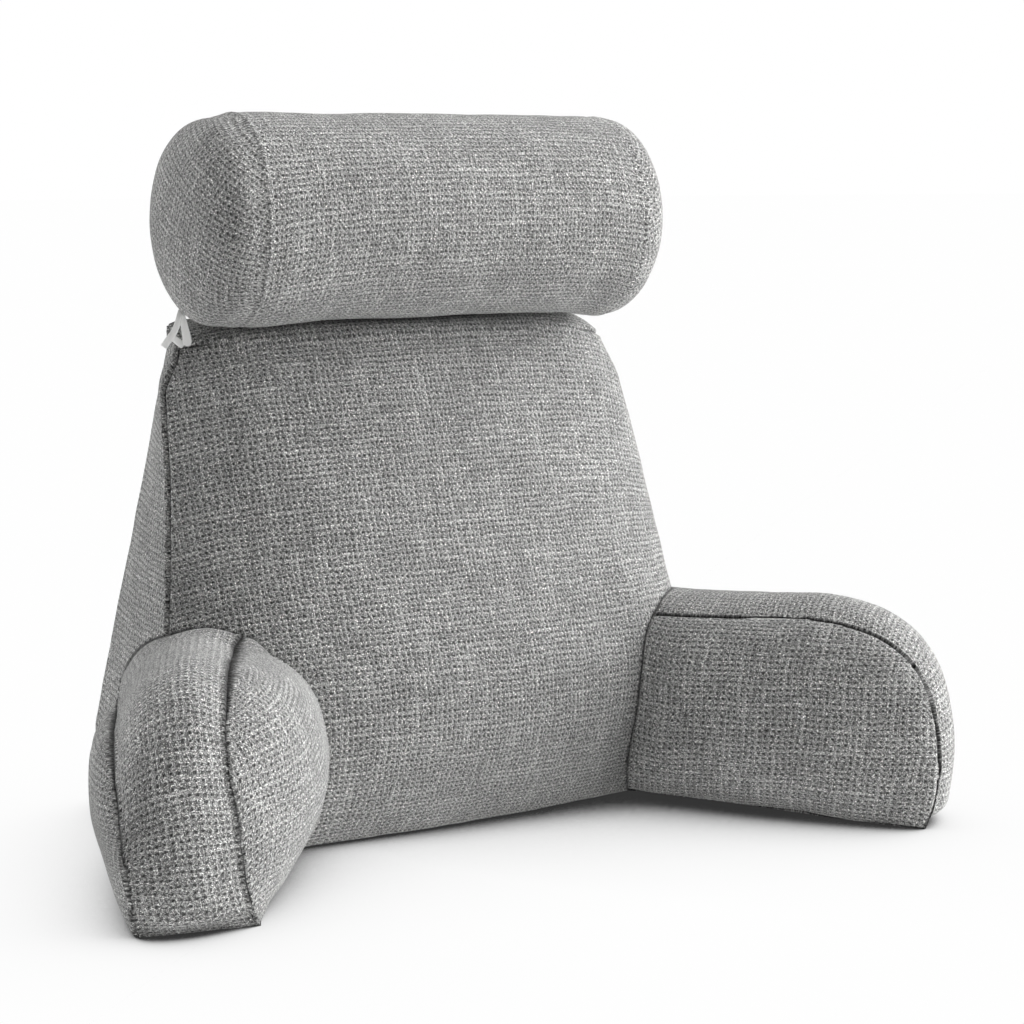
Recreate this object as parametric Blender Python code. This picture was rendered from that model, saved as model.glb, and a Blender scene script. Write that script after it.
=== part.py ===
"""Reading pillow with arms: a leaning wedge backrest, two splayed arms and a tied-on neck roll.

Metres, +Z up. The pillow faces -Y and stands on z = 0, with X across it. Sizes below are taken from
the middle of the backrest's front edge on the floor, and everything hangs from an empty that moves
the middle of the backrest's base to the origin. Every cushion is one filled solid, with its crowned
panels, its boxing strip and the creases of its seams.
"""

import math

import bmesh
import bpy
from mathutils import Vector

GAP = 0.0004  # between pieces that touch
BASE_MIDDLE = 0.125  # from the backrest's front edge back to the middle of its base
SEAM_DEPTH = 0.0028  # how far a seam draws the cloth in
SEAM_REACH = 0.0075  # from a seam to where its panel is at full height again

# Neck roll
ROLL_RADIUS = 0.085
ROLL_CENTRE = Vector((-0.001, 0.108, 0.486))
ROLL_SEAM = 0.176  # from the roll's middle to the seam of its round end panel
ROLL_END_CROWN = 0.038  # how far the end panel domes out past its seam
ROLL_END_STEPS = (0.0, 0.16, 0.34, 0.52, 0.70, 0.86)  # rings of the dome, as shares of a quarter turn
ROLL_TUBE_STEPS = (0.12, 0.06, 0.0)  # rings of the tube, from the middle of the roll
ROLL_SIDES = 40

# Backrest: where its front and back seams run, as straight lines from the floor to the top
FRONT_SEAM_BOTTOM = Vector((0.263, 0.043, 0.0))
FRONT_SEAM_TOP = Vector((0.211, 0.139, 0.384))
BACK_SEAM_BOTTOM = Vector((0.245, 0.246, 0.0))
BACK_SEAM_TOP = Vector((0.186, 0.170, 0.402))
TOP_SHIFT = -0.002  # how far the top sits off the middle
CORNER_DRAW = {-1.0: 0.015, 1.0: 0.009}  # how far the left and right top corners are drawn in
CORNER_DRAW_HEIGHT = 0.10  # share of the height over which they are
BACK_EAR = 0.010  # how far the back panel's top corners stand out as ears
BACK_EAR_HEIGHT = 0.045  # share of the height over which they do
BACK_CROWN = 0.030
GUSSET_CROWN = 0.003
GUSSET_EASE = 0.1  # share of the height over which that crown grows from either end
TOP_CROWN = 0.020
BASE_SKEW = 0.032  # how much further forward the left half's lower edge lies, at the corner
BASE_SKEW_HEIGHT = 0.33  # share of the height over which that fades out
BASE_EDGE = 0.008  # height over which the lower edge rounds under
BASE_TUCK = 0.004  # how far it is then tucked in
# Height as a share, and how far the front panel stands out there in the middle
FRONT_CROWN = (
    (0.0, 0.050), (0.1, 0.060), (0.25, 0.066), (0.5, 0.066), (0.75, 0.055), (0.9, 0.040), (1.0, 0.026),
)
PANEL_FULLNESS = 0.62  # under 1, the backrest's panels rise steeply beside their seams
BACKREST_HALF = (0.09, 0.27, 0.45, 0.62, 0.78, 0.9, 0.97, 1.0)  # rows from the middle to one side
BACKREST_UP = (0.0, 0.026, 0.07, 0.14, 0.23, 0.33, 0.43, 0.53, 0.63, 0.73, 0.82, 0.9, 0.96, 0.982, 1.0)
BACKREST_THROUGH = (0.0, 0.06, 0.2, 0.4, 0.6, 0.8, 0.94, 1.0)

# Arms, in plan: the corners of the strip that runs over each arm and down its front, how far each
# corner leans out higher up, how far the panels stand out, and how far the strip slopes down outward
ARM_PLANS = {
    "left": {
        "inner_back": Vector((-0.170, 0.037)),
        "outer_back": Vector((-0.262, 0.080)),
        "inner_foot": Vector((-0.281, -0.191)),
        "outer_foot": Vector((-0.370, -0.178)),
        "lean": {"inner_back": 0.020, "inner_foot": 0.022, "outer_back": 0.010, "outer_foot": 0.014},
        "inner_bulge": 0.061,
        "outer_bulge": 0.024,
        "strip_crown": 0.013,
        "outer_drop": 0.026,
    },
    "right": {
        "inner_back": Vector((0.166, 0.036)),
        "outer_back": Vector((0.262, 0.090)),
        "inner_foot": Vector((0.300, -0.198)),
        "outer_foot": Vector((0.357, -0.130)),
        "lean": {"inner_back": 0.030, "inner_foot": 0.010, "outer_back": 0.010, "outer_foot": 0.010},
        "inner_bulge": 0.046,
        "outer_bulge": 0.030,
        "strip_crown": 0.013,
        "outer_drop": 0.000,
    },
}
# The arm's outline from the backrest over the top and down to the foot: (share of length, height)
ARM_OUTLINE = (
    (0.0, 0.152), (0.12, 0.1525), (0.25, 0.1545), (0.4, 0.1575), (0.52, 0.160), (0.64, 0.1615),
    (0.74, 0.159), (0.83, 0.153), (0.905, 0.143), (0.96, 0.130), (1.005, 0.111), (1.03, 0.089),
    (1.043, 0.066), (1.043, 0.044), (1.033, 0.024), (1.015, 0.009), (1.0, 0.0),
)
ARM_UNDER = (0.86, 0.72, 0.56, 0.40, 0.26, 0.12, 0.0, -0.12, -0.24)  # shares of length, foot to tail
ARM_LIFT = 0.003  # how far the arm's lower edge rises off the floor behind its foot
ARM_TAIL = (0.035, 0.075, 0.115)  # heights up the end that is sewn to the backrest
ARM_TAIL_SHARE = -0.36  # that end, before the backrest's shape is cut out of it
ARM_MIDDLE = (0.50, 0.088)  # (share of length, height) that the side panels bulge around
ARM_FULLNESS_LOW = 0.92  # under 1, the side panels rise steeply beside their seams
ARM_FULLNESS_TOP = 0.50
ARM_FULLNESS_HEIGHT = 0.13  # where the panels are at their fullest
ARM_LEAN_HEIGHT = 0.11  # where the arm leans out most
ARM_LEAN_BACK = 0.4  # share of the lean that the arm's top then loses
ARM_LEAN_BACK_HEIGHT = 0.05  # over this height
ARM_DROP_FROM = 0.03  # height where the strip starts to slope down outward
ARM_DROP_EASE = 0.10  # height over which the slope grows
ARM_STRIP_EASE = 0.02  # height over which the strip's crown grows from the floor
BULGE_STARTS = {"inner": (-0.04, 0.32), "outer": (-0.30, 0.40)}  # shares of length: still flat, full
ARM_RINGS = (0.93, 0.83, 0.68, 0.50, 0.28)  # share of the way from the middle to the seam
STRIP_ACROSS = (0.09, 0.28, 0.5, 0.72, 0.91)

# Tie: a flat tape's outline as it hangs, seen face on: (along the face, above the corner)
TAPE_THICKNESS = 0.0014
TAPE_OUTLINE = (
    (-0.0052, 0.0272), (0.0003, 0.0276), (0.0035, 0.0180), (0.0052, 0.0100), (0.0068, 0.0044),
    (0.0078, 0.0014), (0.0020, 0.0004), (-0.0028, 0.0034), (-0.0070, 0.0056), (-0.0098, 0.0040),
    (-0.0128, 0.0004), (-0.0158, 0.0026), (-0.0160, 0.0068), (-0.0118, 0.0098), (-0.0078, 0.0160),
)
TAPE_SLIT = ((-0.0022, 0.0205), (-0.0003, 0.0150), (0.0002, 0.0100), (-0.0030, 0.0105), (-0.0034, 0.0150))
# Where each tape's lower end meets the corner, and how many degrees its face turns from -Y
TAPE_PLACES = {
    "left": (Vector((-0.1940, 0.1362, 0.3840)), -30.0),
    "right": (Vector((0.1925, 0.1660, 0.3995)), 84.0),
}

COLOURS = {
    "tweed": (0.235, 0.235, 0.232, 1.0),
    "tape": (0.80, 0.80, 0.78, 1.0),
}


def start_empty():
    for obj in list(bpy.data.objects):
        bpy.data.objects.remove(obj, do_unlink=True)


def add_to_pillow(obj):
    """Links the object and hangs it from the pillow's empty."""
    if "pillow" not in bpy.data.objects:
        pillow = bpy.data.objects.new("pillow", None)
        pillow.location = (0.0, -BASE_MIDDLE, 0.0)
        bpy.context.scene.collection.objects.link(pillow)
    bpy.context.scene.collection.objects.link(obj)
    obj.parent = bpy.data.objects["pillow"]


def cloth_material(name, kind):
    material = bpy.data.materials.new(name)
    material.use_nodes = True
    shader = material.node_tree.nodes["Principled BSDF"]
    shader.inputs["Base Color"].default_value = COLOURS[kind]
    shader.inputs["Roughness"].default_value = 0.95
    shader.inputs["Metallic"].default_value = 0.0
    return material


def smooth(t):
    t = min(max(t, 0.0), 1.0)
    return t * t * (3.0 - 2.0 * t)


def table_value(table, t):
    """The value at t of a table of (t, value) rows, in straight lines between them."""
    if t <= table[0][0]:
        return table[0][1]
    for (low, start), (high, end) in zip(table, table[1:]):
        if t <= high:
            share = (t - low) / (high - low)
            return start + (end - start) * share
    return table[-1][1]


def full_crown(across):
    """1 in the middle of a filled panel and 0 at its seams (across = -1 and 1), steep beside them."""
    return (1.0 - abs(across) ** 2.2) ** PANEL_FULLNESS


def add_mesh(name, points, faces, material):
    mesh = bpy.data.meshes.new(name)
    mesh.from_pydata(points, [], faces)
    shell = bmesh.new()
    shell.from_mesh(mesh)
    bmesh.ops.triangulate(shell, faces=shell.faces)
    bmesh.ops.recalc_face_normals(shell, faces=shell.faces)
    shell.to_mesh(mesh)
    shell.free()
    mesh.update()
    mesh.materials.append(material)
    obj = bpy.data.objects.new(name, mesh)
    add_to_pillow(obj)
    return obj


# ---------------------------------------------------------------- backrest


def near_top(up, height):
    """0 below the top by this share of the height, easing to 1 at the top."""
    return smooth((up - 1.0 + height) / height)


def backrest_frame(across, up, through):
    """The point at these shares of the backrest's width, height and depth, before its panels bulge."""
    front = FRONT_SEAM_BOTTOM.lerp(FRONT_SEAM_TOP, up)
    back = BACK_SEAM_BOTTOM.lerp(BACK_SEAM_TOP, up)
    drawn = CORNER_DRAW[math.copysign(1.0, across)] * near_top(up, CORNER_DRAW_HEIGHT)
    front.x = across * (front.x - drawn) + TOP_SHIFT * up
    back.x = across * (back.x + BACK_EAR * near_top(up, BACK_EAR_HEIGHT)) + TOP_SHIFT * up
    front.y += BASE_SKEW * across * smooth(1.0 - up / BASE_SKEW_HEIGHT)
    front.y -= table_value(FRONT_CROWN, up) * full_crown(across)
    back.y += BACK_CROWN * full_crown(across)
    return front.lerp(back, through)


def backrest_point(across, up, through):
    """A point on the backrest's surface, drawn in where two panels meet and tucked in at the floor."""
    point = backrest_frame(across, up, through)
    depth = 4.0 * through * (1.0 - through)
    if abs(across) == 1.0:
        ease = smooth(up / GUSSET_EASE) * smooth((1.0 - up) / GUSSET_EASE)
        point.x += math.copysign(GUSSET_CROWN, across) * depth * ease
    if up == 1.0:
        point.z += TOP_CROWN * depth ** 0.7 * full_crown(across)
    panels = sum((abs(across) == 1.0, up == 1.0, through in (0.0, 1.0)))
    if panels > 1:
        inside = backrest_frame(across * 0.5, min(up, 0.9), 0.5)
        inside.z = point.z if up < 1.0 else inside.z
        point += (inside - point).normalized() * SEAM_DEPTH
    if up < 1.0:
        tuck = BASE_TUCK * (1.0 - min(point.z / BASE_EDGE, 1.0)) ** 2
        inside = backrest_frame(across * 0.8, up, 0.5)
        inside.z = point.z
        point += (inside - point).normalized() * tuck
    return keep_under_roll(point)


def keep_under_roll(point):
    """Presses the point down to the roll's underside where the roll lies on it."""
    reach = ROLL_RADIUS + 2.5 * GAP
    away = point.y - ROLL_CENTRE.y
    if abs(point.x) > ROLL_SEAM + ROLL_END_CROWN or abs(away) >= reach:
        return point
    underside = ROLL_CENTRE.z - math.sqrt(reach ** 2 - away ** 2)
    return Vector((point.x, point.y, min(point.z, underside)))


def build_backrest(material):
    """The wedge: a box's six faces as grids that share their edges, each point moved to the true shape."""
    index = {}
    points = []
    faces = []

    def number(key):
        if key not in index:
            index[key] = len(points)
            points.append(backrest_point(*key))
        return index[key]

    def grid(rows, columns, key):
        for low, high in zip(rows, rows[1:]):
            for left, right in zip(columns, columns[1:]):
                corners = (low, left), (low, right), (high, right), (high, left)
                faces.append([number(key(*corner)) for corner in corners])

    wide = [-share for share in reversed(BACKREST_HALF)] + list(BACKREST_HALF)
    high, deep = BACKREST_UP, BACKREST_THROUGH
    for through in (0.0, 1.0):
        grid(high, wide, lambda up, across: (across, up, through))
    for across in (-1.0, 1.0):
        grid(high, deep, lambda up, through: (across, up, through))
    for up in (0.0, 1.0):
        grid(deep, wide, lambda through, across: (across, up, through))
    return add_mesh("backrest", points, faces, material)


# ---------------------------------------------------------------- arms


def arm_loop():
    """One side panel's edge as (share of length, height), from the top's back end round to the start."""
    under = [(share, ARM_LIFT * smooth((0.80 - share) / 0.25)) for share in ARM_UNDER]
    tail = [(ARM_TAIL_SHARE, height) for height in ARM_TAIL]
    return [(ARM_TAIL_SHARE, ARM_OUTLINE[0][1])] + list(ARM_OUTLINE) + under + tail


def arm_point(plan, share, height, across):
    """The point of the arm at this share of its length, this height and this share of its strip."""
    spots = {name: plan[name].copy() for name in plan["lean"]}
    back_in = ARM_LEAN_BACK * smooth((height - ARM_LEAN_HEIGHT) / ARM_LEAN_BACK_HEIGHT)
    lean = smooth(height / ARM_LEAN_HEIGHT) - back_in
    for end in ("back", "foot"):
        sideways = (plan["outer_" + end] - plan["inner_" + end]).normalized()
        for edge in ("inner_", "outer_"):
            spots[edge + end] += sideways * plan["lean"][edge + end] * lean
    inner = spots["inner_back"].lerp(spots["inner_foot"], share)
    outer = spots["outer_back"].lerp(spots["outer_foot"], share)
    place = inner.lerp(outer, across)
    drop = plan["outer_drop"] * across ** 1.5 * smooth((height - ARM_DROP_FROM) / ARM_DROP_EASE)
    return Vector((place.x, place.y, height - drop))


def side_normal(plan, name):
    """The level direction that the arm's inner or outer side panel faces."""
    along = (plan[name + "_foot"] - plan[name + "_back"]).normalized()
    normal = Vector((-along.y, along.x))
    other = plan["inner_back"] if name == "outer" else plan["outer_back"]
    if normal.dot(plan[name + "_back"] - other) < 0.0:
        normal.negate()
    return normal.to_3d()


def build_arm(side, material):
    """One arm: a boxing strip between two bulged side panels, all drawn in at the seams."""
    plan = ARM_PLANS[side]
    loop = arm_loop()
    count = len(loop)
    along = plan["inner_foot"] - plan["inner_back"]
    on_floor = [height <= ARM_LIFT and share < 1.0 for share, height in loop]
    at_tail = [share == ARM_TAIL_SHARE for share, height in loop]
    points = []
    faces = []

    def outward(spot):
        """The direction out of the arm at this spot of the loop, square to the strip."""
        before, after = loop[spot - 1], loop[(spot + 1) % count]
        run = Vector(((after[0] - before[0]) * along.length, after[1] - before[1])).normalized()
        forward = along.normalized() * -run.y
        return Vector((forward.x, forward.y, run.x))

    def add(point):
        points.append(Vector((point.x, point.y, max(point.z, 0.0))))
        return len(points) - 1

    def strip(across):
        crown = plan["strip_crown"] * 4.0 * across * (1.0 - across)
        ring = []
        for spot, (share, height) in enumerate(loop):
            point = arm_point(plan, share, height, across)
            if across in (0.0, 1.0) and not on_floor[spot]:
                point -= outward(spot) * SEAM_DEPTH
            elif not (on_floor[spot] or at_tail[spot]):
                point += outward(spot) * crown * smooth(height / ARM_STRIP_EASE)
            ring.append(add(point))
        return ring

    def panel(name):
        middle_share, middle_height = ARM_MIDDLE
        normal = side_normal(plan, name)
        for ring_share in ARM_RINGS + (0.0,):
            ring = []
            for share, height in loop if ring_share else loop[:1]:
                at_share = middle_share + (share - middle_share) * ring_share
                at_height = middle_height + (height - middle_height) * ring_share
                point = arm_point(plan, at_share, at_height, float(name == "outer"))
                high = smooth(height / ARM_FULLNESS_HEIGHT)
                fullness = ARM_FULLNESS_LOW + (ARM_FULLNESS_TOP - ARM_FULLNESS_LOW) * high
                bulge = plan[name + "_bulge"] * (1.0 - ring_share ** 2) ** fullness
                flat_end, full_from = BULGE_STARTS[name]
                bulge *= smooth((at_share - flat_end) / (full_from - flat_end))
                ring.append(add(point + normal * bulge))
            yield ring

    def bridge(rings):
        for first, second in zip(rings, rings[1:]):
            for spot in range(count):
                after = (spot + 1) % count
                far = [second[after], second[spot]] if len(second) > 1 else second
                faces.append([first[spot], first[after]] + far)

    band = [strip(across) for across in (0.0,) + STRIP_ACROSS + (1.0,)]
    bridge(band)
    bridge([band[0]] + list(panel("inner")))
    bridge([band[-1]] + list(panel("outer")))
    return add_mesh(f"arm_{side}", points, faces, material)


def cut_by(obj, solid):
    """Cuts the arm's end to the backrest's shape, GAP clear of it."""
    mesh = solid.data.copy()
    normals = [vertex.normal.copy() for vertex in mesh.vertices]
    for vertex, normal in zip(mesh.vertices, normals):
        vertex.co += normal * GAP * 1.5
    cutter = bpy.data.objects.new(f"cutter_{obj.name}", mesh)
    cutter.hide_render = True
    cutter.display_type = "WIRE"
    add_to_pillow(cutter)
    cut = obj.modifiers.new("sewn_to_backrest", "BOOLEAN")
    cut.operation = "DIFFERENCE"
    cut.solver = "EXACT"
    cut.object = cutter


# ---------------------------------------------------------------- neck roll


def build_roll(material):
    """The roll: a tube with a round, domed panel sewn into each end."""
    profile = []
    for step in ROLL_END_STEPS:
        angle = step * math.pi / 2.0
        along = ROLL_SEAM + ROLL_END_CROWN * math.cos(angle) ** 0.9
        profile.append((along, ROLL_RADIUS * math.sin(angle) ** 0.75))
    profile += [(ROLL_SEAM, ROLL_RADIUS - SEAM_DEPTH), (ROLL_SEAM - SEAM_REACH, ROLL_RADIUS)]
    profile += [(along, ROLL_RADIUS) for along in ROLL_TUBE_STEPS]
    profile += [(-along, radius) for along, radius in profile[-2::-1]]
    points = []
    rings = []
    for along, radius in profile:
        sides = ROLL_SIDES if radius else 1
        ring = []
        for side in range(sides):
            angle = 2.0 * math.pi * side / sides
            ring.append(len(points))
            points.append(ROLL_CENTRE + Vector((along, radius * math.cos(angle), radius * math.sin(angle))))
        rings.append(ring)
    faces = []
    for first, second in zip(rings, rings[1:]):
        for side in range(ROLL_SIDES):
            after = (side + 1) % ROLL_SIDES
            near = [first[side], first[after]] if len(first) > 1 else first
            far = [second[after], second[side]] if len(second) > 1 else second
            faces.append(near + far)
    return add_mesh("neck_roll", points, faces, material)


# ---------------------------------------------------------------- ties


def build_tie(side, material):
    """A flat tape tied between the roll's end and the backrest's corner, with one free end."""
    corner, yaw = TAPE_PLACES[side]
    curve = bpy.data.curves.new(f"tie_{side}", "CURVE")
    curve.dimensions = "2D"
    curve.fill_mode = "BOTH"
    curve.extrude = TAPE_THICKNESS / 2.0
    for outline in (TAPE_OUTLINE, TAPE_SLIT):
        spline = curve.splines.new("POLY")
        spline.points.add(len(outline) - 1)
        for spot, (along, above) in zip(spline.points, outline):
            spot.co = (along, above, 0.0, 1.0)
        spline.use_cyclic_u = True
    curve.materials.append(material)
    obj = bpy.data.objects.new(f"tie_{side}", curve)
    add_to_pillow(obj)
    obj.location = corner
    obj.rotation_euler = (math.radians(90.0), 0.0, math.radians(yaw))
    return obj


def main():
    start_empty()
    tweed = cloth_material("grey_tweed", "tweed")
    tape = cloth_material("white_tape", "tape")
    backrest = build_backrest(tweed)
    build_roll(tweed)
    for side in ("left", "right"):
        cut_by(build_arm(side, tweed), backrest)
        build_tie(side, tape)


main()
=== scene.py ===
"""Reading pillow with arms, in chunky grey tweed: backrest, two splayed arms, neck roll and ties.

Lengths are in metres. Shapes are worked out in the same frame as the solids, in which y = 0 is the
backrest's front edge, and every piece is then moved back by BASE_MIDDLE.
"""

import math
from functools import partialmethod

import bmesh
import bpy
import numpy as np
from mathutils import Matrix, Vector, noise
from mathutils.bvhtree import BVHTree
from mathutils.kdtree import KDTree


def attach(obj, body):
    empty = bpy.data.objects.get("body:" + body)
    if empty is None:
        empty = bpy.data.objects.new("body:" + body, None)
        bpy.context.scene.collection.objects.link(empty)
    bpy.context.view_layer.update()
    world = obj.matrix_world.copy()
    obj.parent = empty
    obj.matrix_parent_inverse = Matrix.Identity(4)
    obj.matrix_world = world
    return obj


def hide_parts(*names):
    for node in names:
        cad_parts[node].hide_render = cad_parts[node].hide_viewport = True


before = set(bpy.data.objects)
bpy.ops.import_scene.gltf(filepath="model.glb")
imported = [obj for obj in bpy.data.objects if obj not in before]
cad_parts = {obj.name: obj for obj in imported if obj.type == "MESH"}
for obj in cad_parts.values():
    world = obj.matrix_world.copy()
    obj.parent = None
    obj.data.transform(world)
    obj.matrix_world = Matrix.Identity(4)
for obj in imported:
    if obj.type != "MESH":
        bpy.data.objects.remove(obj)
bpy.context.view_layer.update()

BASE_MIDDLE = 0.125
CLEAR = 0.0005  # left between pieces that touch
WELD = 0.00004  # points closer than this are one
MESH_STEP = 0.0034  # spacing of the cloth's grid away from its seams
SEAM_STEPS = (0.0, 0.0008, 0.0018, 0.003, 0.0045, 0.0065, 0.009)  # and beside them
AT_EDGE = 0.9999

# Seams: how deep, how wide, and how high the turned edge stands beside them
SEAM_DEPTH, SEAM_REACH, SEAM_LIP = 0.0026, 0.0048, 0.0007
LEFT_SEAM = {"depth": 0.0042, "reach": 0.0052, "lip": 0.0018}  # between front and left gusset
TOP_SEAM_DEPTH, TOP_SEAM_REACH = 0.0034, 0.0055
FLOOR_SEAM_DEPTH = 0.0015
PLEAT_REACH = 0.0045
TOP_ROUNDING, CORNER_ROUNDING = 0.022, 0.014
STITCH_PULL = (0.92, 0.3)  # evenly, and by chance
STITCH_RATE = 110.0
LIP_PLACE = (0.7, 0.3)  # shares of the reach: from the seam, wide
CREASE_SHADE_SHARE = 0.4  # this share of the reach gets painted shade
CREASE_SHADE_FULL = 0.002  # fully so from this seam depth
# reach of the painted shade in the crevice where each piece meets the backrest
CONTACT_SHADE_REACH = {"neck_roll": 0.0065, "arm_left": 0.0022, "arm_right": 0.0022}
LUMPS = ((16.0, 0.7), (42.0, 0.3))  # how close together, and their share
LUMP_HEIGHT = 0.0016

ROLL_RADIUS = 0.085
ROLL_CENTRE = np.array((-0.001, 0.108, 0.486))
ROLL_SEAM = 0.176
ROLL_END_CROWN = 0.038
ROLL_END_POWERS = (0.75, 0.9)  # how square: around, outwards
ROLL_END_TURN = math.radians(-30.0)
ROLL_FLAT = 0.0046  # how far its underside is pressed in
ROLL_FLAT_EASE = (0.12, 0.03)  # over which length at the left and right
ROLL_SPARE = 0.0006
ROLL_SEAM_DRAW = (0.0085, 0.006)  # how far in its left seam lies: all round, up and down
ROLL_DRAW_FROM = 0.06
ROLL_END_SLACK = (0.012, 0.04)  # how much smaller that end is: all round, on top
ROLL_STRETCH = (
    (-0.176, 1.0), (-0.15, 1.03), (-0.115, 1.1), (-0.05, 1.22), (0.0, 1.23), (0.176, 1.28),
)
ROLL_ROWS_SPREAD = (0.1, 0.09)  # at its left end: by how much, over which length
ROLL_ROWS_TURN = (0.006, 0.025)  # at its right end
ROLL_SEAM_DEPTHS = {-1.0: 0.001, 1.0: 0.0006}
ROLL_SEAM_REACH = 0.007
ROLL_SOFTNESS = 0.8

FRONT_SEAM = np.array(((0.263, 0.043, 0.0), (0.211, 0.139, 0.384)))  # bottom, top
BACK_SEAM = np.array(((0.245, 0.246, 0.0), (0.186, 0.17, 0.402)))
TOP_SHIFT = -0.002
CORNER_DRAW = (0.015, 0.009)  # left, right
CORNER_DRAW_HEIGHT = 0.1
BACK_EAR = 0.005
BACK_EAR_HEIGHT = 0.045
BACK_CROWN = 0.03
GUSSET_CROWN = 0.003
GUSSET_EASE = 0.1
TOP_CROWN = 0.02
TOP_FULLNESS = 0.7
BASE_SKEW = 0.032
BASE_SKEW_HEIGHT = 0.33
BASE_EDGE = 0.01
BASE_TUCK = 0.005
FRONT_CROWN = (
    (0.0, 0.04), (0.05, 0.055), (0.1, 0.066), (0.2, 0.079), (0.3, 0.082), (0.4, 0.077),
    (0.5, 0.07), (0.6, 0.0635), (0.75, 0.0565), (0.9, 0.047), (1.0, 0.036),
)
TOP_LIFT = 0.01  # how far the front is pushed up against the roll
TOP_LIFT_LEAN = 0.25  # and how much more so on its right
TOP_LIFT_HEIGHT = 0.14
LEFT_SEAM_DRAW = (
    (0.0, 0.0), (0.2, 0.004), (0.4, 0.007), (0.6, 0.0085), (0.75, 0.0075), (0.88, 0.004), (1.0, 0.0),
)
ARM_PUFF = 0.006  # how far the front stands out above the start of the right arm
ARM_PUFF_PLACE, ARM_PUFF_SIZE = (0.74, 0.42), (0.12, 0.1)
BACK_CORNER_TUCK = 0.016
BACK_CORNER_FORWARD = 0.7
BACK_CORNER_HEIGHT = 0.07
TOP_CORNER = (0.02, 0.034)  # beside the roll: beyond its seam, ease
FRONT_STRETCH = (  # the weave's stretch across the front panel
    (-1.0, 1.02), (-0.6, 1.03), (-0.3, 1.1), (-0.1, 1.18), (0.13, 1.22), (0.38, 1.23),
    (0.62, 1.14), (0.83, 1.07), (1.0, 1.05),
)
ROWS_SINK_LEFT = (0.0273, 0.065)  # how far the front's rows sink, over which width
ROWS_SINK_RIGHT = (0.027, 0.045)
ROWS_SINK_FROM = (0.17, 0.13)  # on the right: height, ease
FOOT_CROWD = ((1.6, 0.14), (3.2, 0.1))  # how the weave crowds low down, across and up
PANEL_POWER = 2.2
PANEL_FULLNESS = 0.62

RIGHT_LEAN = ((0.0, 0.0), (0.03, 0.002), (0.055, 0.005), (0.085, 0.0085), (0.11, 0.01), (0.16, 0.006))
ARM_PLANS = {
    "left": {
        "inner": {
            "back": (-0.17, 0.037), "foot": (-0.281, -0.191),
            "lean": (
                (0.0, 0.0), (0.004, 0.0035), (0.015, 0.0075), (0.031, 0.0113), (0.057, 0.015),
                (0.082, 0.0184), (0.106, 0.0229), (0.133, 0.0262), (0.16, 0.027),
            ),
            "bulge": 0.067, "start": (-0.16, 0.16), "high": 1.3, "full": 0.5, "front": 0.85,
            "slant": 0.36,
        },
        "outer": {
            "back": (-0.262, 0.08), "foot": (-0.37, -0.178),
            "lean": (
                (0.0, 0.0), (0.03, 0.0035), (0.05, 0.006), (0.078, 0.009), (0.11, 0.0125),
                (0.14, 0.015), (0.16, 0.0165),
            ),
            "bulge": 0.026, "start": (-0.3, 0.3), "high": 1.2, "full": 0.32, "front": 0.56,
            "slant": 0.0,
        },
        "rise": 0.006, "crown": 0.014, "drop": 0.046, "back_lean": 0.0, "flare": 0.0,
        "ear": 0.006, "bow": 0.0, "shear": 0.0,
    },
    "right": {
        "inner": {
            "back": (0.166, 0.036), "foot": (0.3, -0.198), "lean": RIGHT_LEAN,
            "bulge": 0.042, "start": (-0.3, 0.25), "high": 1.1, "full": 0.6, "front": 0.6, "slant": 0.0,
        },
        "outer": {
            "back": (0.262, 0.09), "foot": (0.357, -0.13), "lean": RIGHT_LEAN,
            "bulge": 0.03, "start": (-0.3, 0.4), "high": 1.0, "full": 0.6, "front": 0.6, "slant": 0.0,
        },
        "rise": 0.0, "crown": 0.013, "drop": 0.0, "back_lean": 0.014, "flare": 0.018,
        "ear": 0.0, "bow": 0.6, "shear": 2.5,
    },
}
ARM_OUTLINE = (
    (-0.36, 0.152), (0.0, 0.152), (0.12, 0.1525), (0.25, 0.1545), (0.4, 0.1575), (0.52, 0.16),
    (0.64, 0.1615), (0.74, 0.159), (0.83, 0.153), (0.905, 0.143), (0.96, 0.13), (1.005, 0.111),
    (1.03, 0.089), (1.043, 0.066), (1.043, 0.044), (1.033, 0.024), (1.015, 0.009), (1.0, 0.0),
)
PLEATS = {  # small folds in the strip beside its seams: height, from and to across it, depth
    "left": ((0.127, 0.0, 0.24, 0.002), (0.104, 0.84, 1.0, 0.0016), (0.114, 0.88, 1.0, 0.0012)),
    "right": ((0.06, 0.0, 0.1, 0.0014),),
}
ARM_CORNER = (0.96, 0.13)  # where the top of a side panel's grid turns into its front
ARM_LIFT = 0.003
ARM_TAIL_SHARE = -0.36
ARM_HEIGHT = 0.16
ARM_DROP_FROM = 0.03
ARM_DROP_EASE = 0.1
ARM_DROP_POWER = 2.3
ARM_EAR = (-0.01, 0.06, 0.13, 0.02)  # the left arm's back ear: share, width, height, ease
BACK_LEAN_EASE = (0.15, 0.6)  # height and share of the length over which it comes and goes
TAIL_FLARE_EASE = (0.14, 0.5)
BULGE_POWER = 2.4
SIDE_STRETCH = (0.87, 1.04)  # the weave's stretch on the arms' sides
SIDE_BOW_MIDDLE = 0.55
SIDE_SHEAR_BELOW = 0.09
STRIP_WIDTH = 0.1
STRIP_EASE = 0.02
STRIP_TILT = 14.0  # how far the dropped strip's crown turns outwards
STRIP_BOW = 0.0025  # how far the strip's rows arch in its middle
STRIP_SINK = 0.65  # how much of the outer edge's drop the rows don't follow
STRIP_STRETCH = (0.87, 1.0)

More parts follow.
